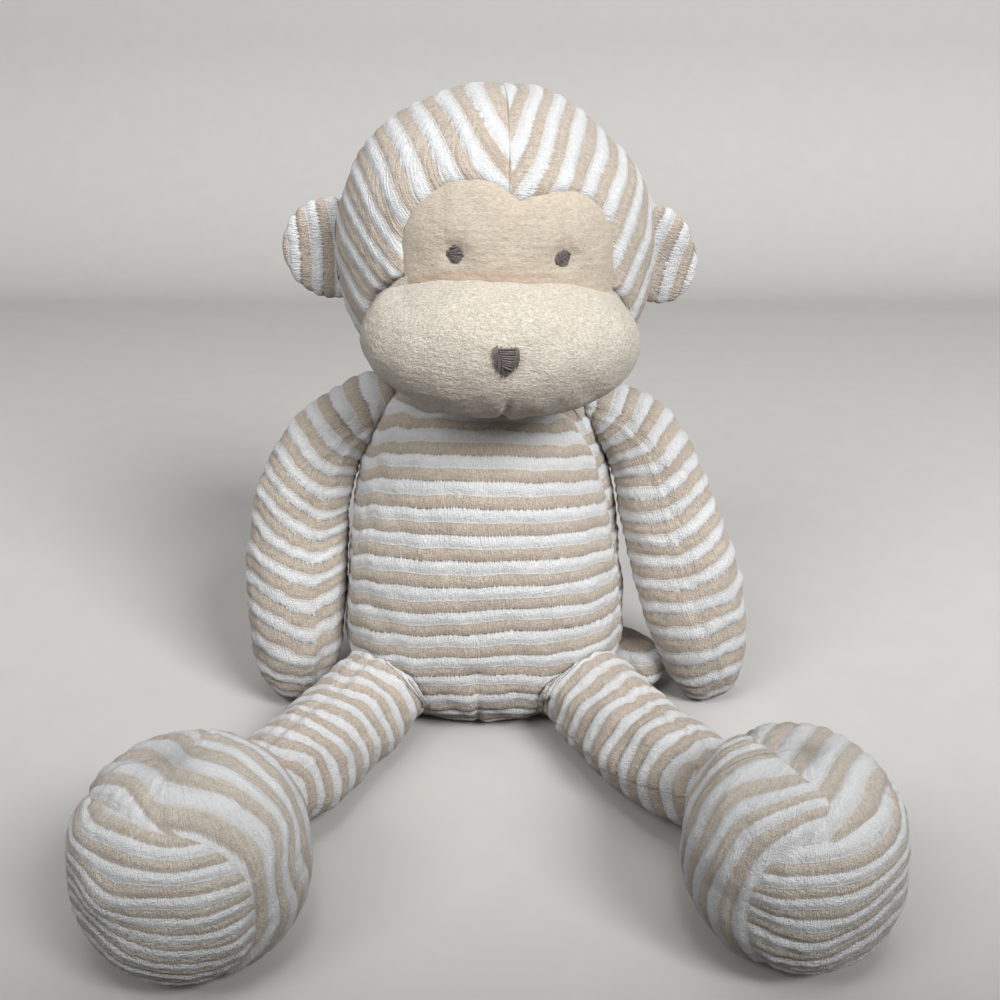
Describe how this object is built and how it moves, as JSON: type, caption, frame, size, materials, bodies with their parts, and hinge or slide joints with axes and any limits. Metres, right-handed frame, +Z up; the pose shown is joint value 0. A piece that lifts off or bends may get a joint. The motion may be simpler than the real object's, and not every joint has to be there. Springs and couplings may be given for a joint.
{
  "type": "plush monkey",
  "caption": "Seated soft plush monkey with striped body and limbs, cream face and muzzle, stuffed head, ears and tail, and limbs that move at their seams.",
  "frame": {"origin": "middle of the flat seat that the torso rests on, on the table plane", "axes": "+Z up, the face and feet look along -Y, +X to the viewer's right"},
  "size_m": [0.2329, 0.2165, 0.2286],
  "materials": {
    "striped_velour": "soft pile, white and tan stripes",
    "cream_plush": "short brushed pile",
    "brown_thread": "satin stitch",
    "fibre_stuffing": "loose white fibre"
  },
  "bodies": {
    "torso": {"torso_front_panel": "striped_velour", "torso_back_panel": "striped_velour", "torso_stuffing": "fibre_stuffing"},
    "neck": {"neck_stuffing": "fibre_stuffing"},
    "head": {"head_left_panel": "striped_velour", "head_right_panel": "striped_velour", "head_back_panel": "striped_velour", "head_stuffing": "fibre_stuffing", "face_mask": "cream_plush", "muzzle_panel": "cream_plush", "muzzle_stuffing": "fibre_stuffing", "eye_left": "brown_thread", "eye_right": "brown_thread", "nose": "brown_thread"},
    "ear_left": {"ear_left_front_panel": "striped_velour", "ear_left_back_panel": "striped_velour"},
    "ear_right": {"ear_right_front_panel": "striped_velour", "ear_right_back_panel": "striped_velour"},
    "arm_left": {"arm_left_outer_panel": "striped_velour", "arm_left_inner_panel": "striped_velour", "arm_left_stuffing": "fibre_stuffing"},
    "arm_right": {"arm_right_outer_panel": "striped_velour", "arm_right_inner_panel": "striped_velour", "arm_right_stuffing": "fibre_stuffing"},
    "leg_left": {"leg_left_outer_panel": "striped_velour", "leg_left_inner_panel": "striped_velour", "leg_left_stuffing": "fibre_stuffing"},
    "leg_right": {"leg_right_outer_panel": "striped_velour", "leg_right_inner_panel": "striped_velour", "leg_right_stuffing": "fibre_stuffing"},
    "foot_left": {"foot_left_sole": "striped_velour", "foot_left_outer_panel": "striped_velour", "foot_left_inner_panel": "striped_velour", "foot_left_stuffing": "fibre_stuffing"},
    "foot_right": {"foot_right_sole": "striped_velour", "foot_right_outer_panel": "striped_velour", "foot_right_inner_panel": "striped_velour", "foot_right_stuffing": "fibre_stuffing"},
    "tail": {"tail_outer_panel": "striped_velour", "tail_inner_panel": "striped_velour", "tail_stuffing": "fibre_stuffing"}
  },
  "joints": [
    {"name": "head_turn", "type": "hinge", "parent": "torso", "child": "neck", "pos_m": [0, 0.003, 0.126], "axis": [0, 0, 1], "range_deg": [-30, 30]},
    {"name": "head_nod", "type": "hinge", "parent": "neck", "child": "head", "pos_m": [0, 0.003, 0.126], "axis": [1, 0, 0], "range_deg": [-10, 12]},
    {"name": "ear_left_fold", "type": "hinge", "parent": "head", "child": "ear_left", "pos_m": [-0.04897, 0.00373, 0.17508], "axis": [0.05, 0, 0.9988], "range_deg": [-25, 25], "stiffness_Nm_per_rad": 0.02},
    {"name": "ear_right_fold", "type": "hinge", "parent": "head", "child": "ear_right", "pos_m": [0.05718, 0.01225, 0.16976], "axis": [0.05, 0, 0.9988], "range_deg": [-25, 25], "stiffness_Nm_per_rad": 0.02},
    {"name": "arm_left_swing", "type": "hinge", "parent": "torso", "child": "arm_left", "pos_m": [-0.044, 0.003, 0.117], "axis": [0.9397, -0.342, 0], "range_deg": [-100, 5]},
    {"name": "arm_right_swing", "type": "hinge", "parent": "torso", "child": "arm_right", "pos_m": [0.044, 0.003, 0.117], "axis": [0.9397, 0.342, 0], "range_deg": [-100, 5]},
    {"name": "leg_left_lift", "type": "hinge", "parent": "torso", "child": "leg_left", "pos_m": [-0.019, -0.014, 0.017], "axis": [-1, 0, 0], "range_deg": [-80, 50]},
    {"name": "leg_right_lift", "type": "hinge", "parent": "torso", "child": "leg_right", "pos_m": [0.017, -0.014, 0.017], "axis": [-1, 0, 0], "range_deg": [-80, 50]},
    {"name": "foot_left_flop", "type": "hinge", "parent": "leg_left", "child": "foot_left", "pos_m": [-0.0802, -0.1067, 0.02], "axis": [1, 0, 0], "range_deg": [-20, 20]},
    {"name": "foot_right_flop", "type": "hinge", "parent": "leg_right", "child": "foot_right", "pos_m": [0.089, -0.1032, 0.02], "axis": [1, 0, 0], "range_deg": [-20, 20]},
    {"name": "tail_swing", "type": "hinge", "parent": "torso", "child": "tail", "pos_m": [0.004, 0.036, 0.009], "axis": [0, 0, 1], "range_deg": [0, 60]}
  ]
}
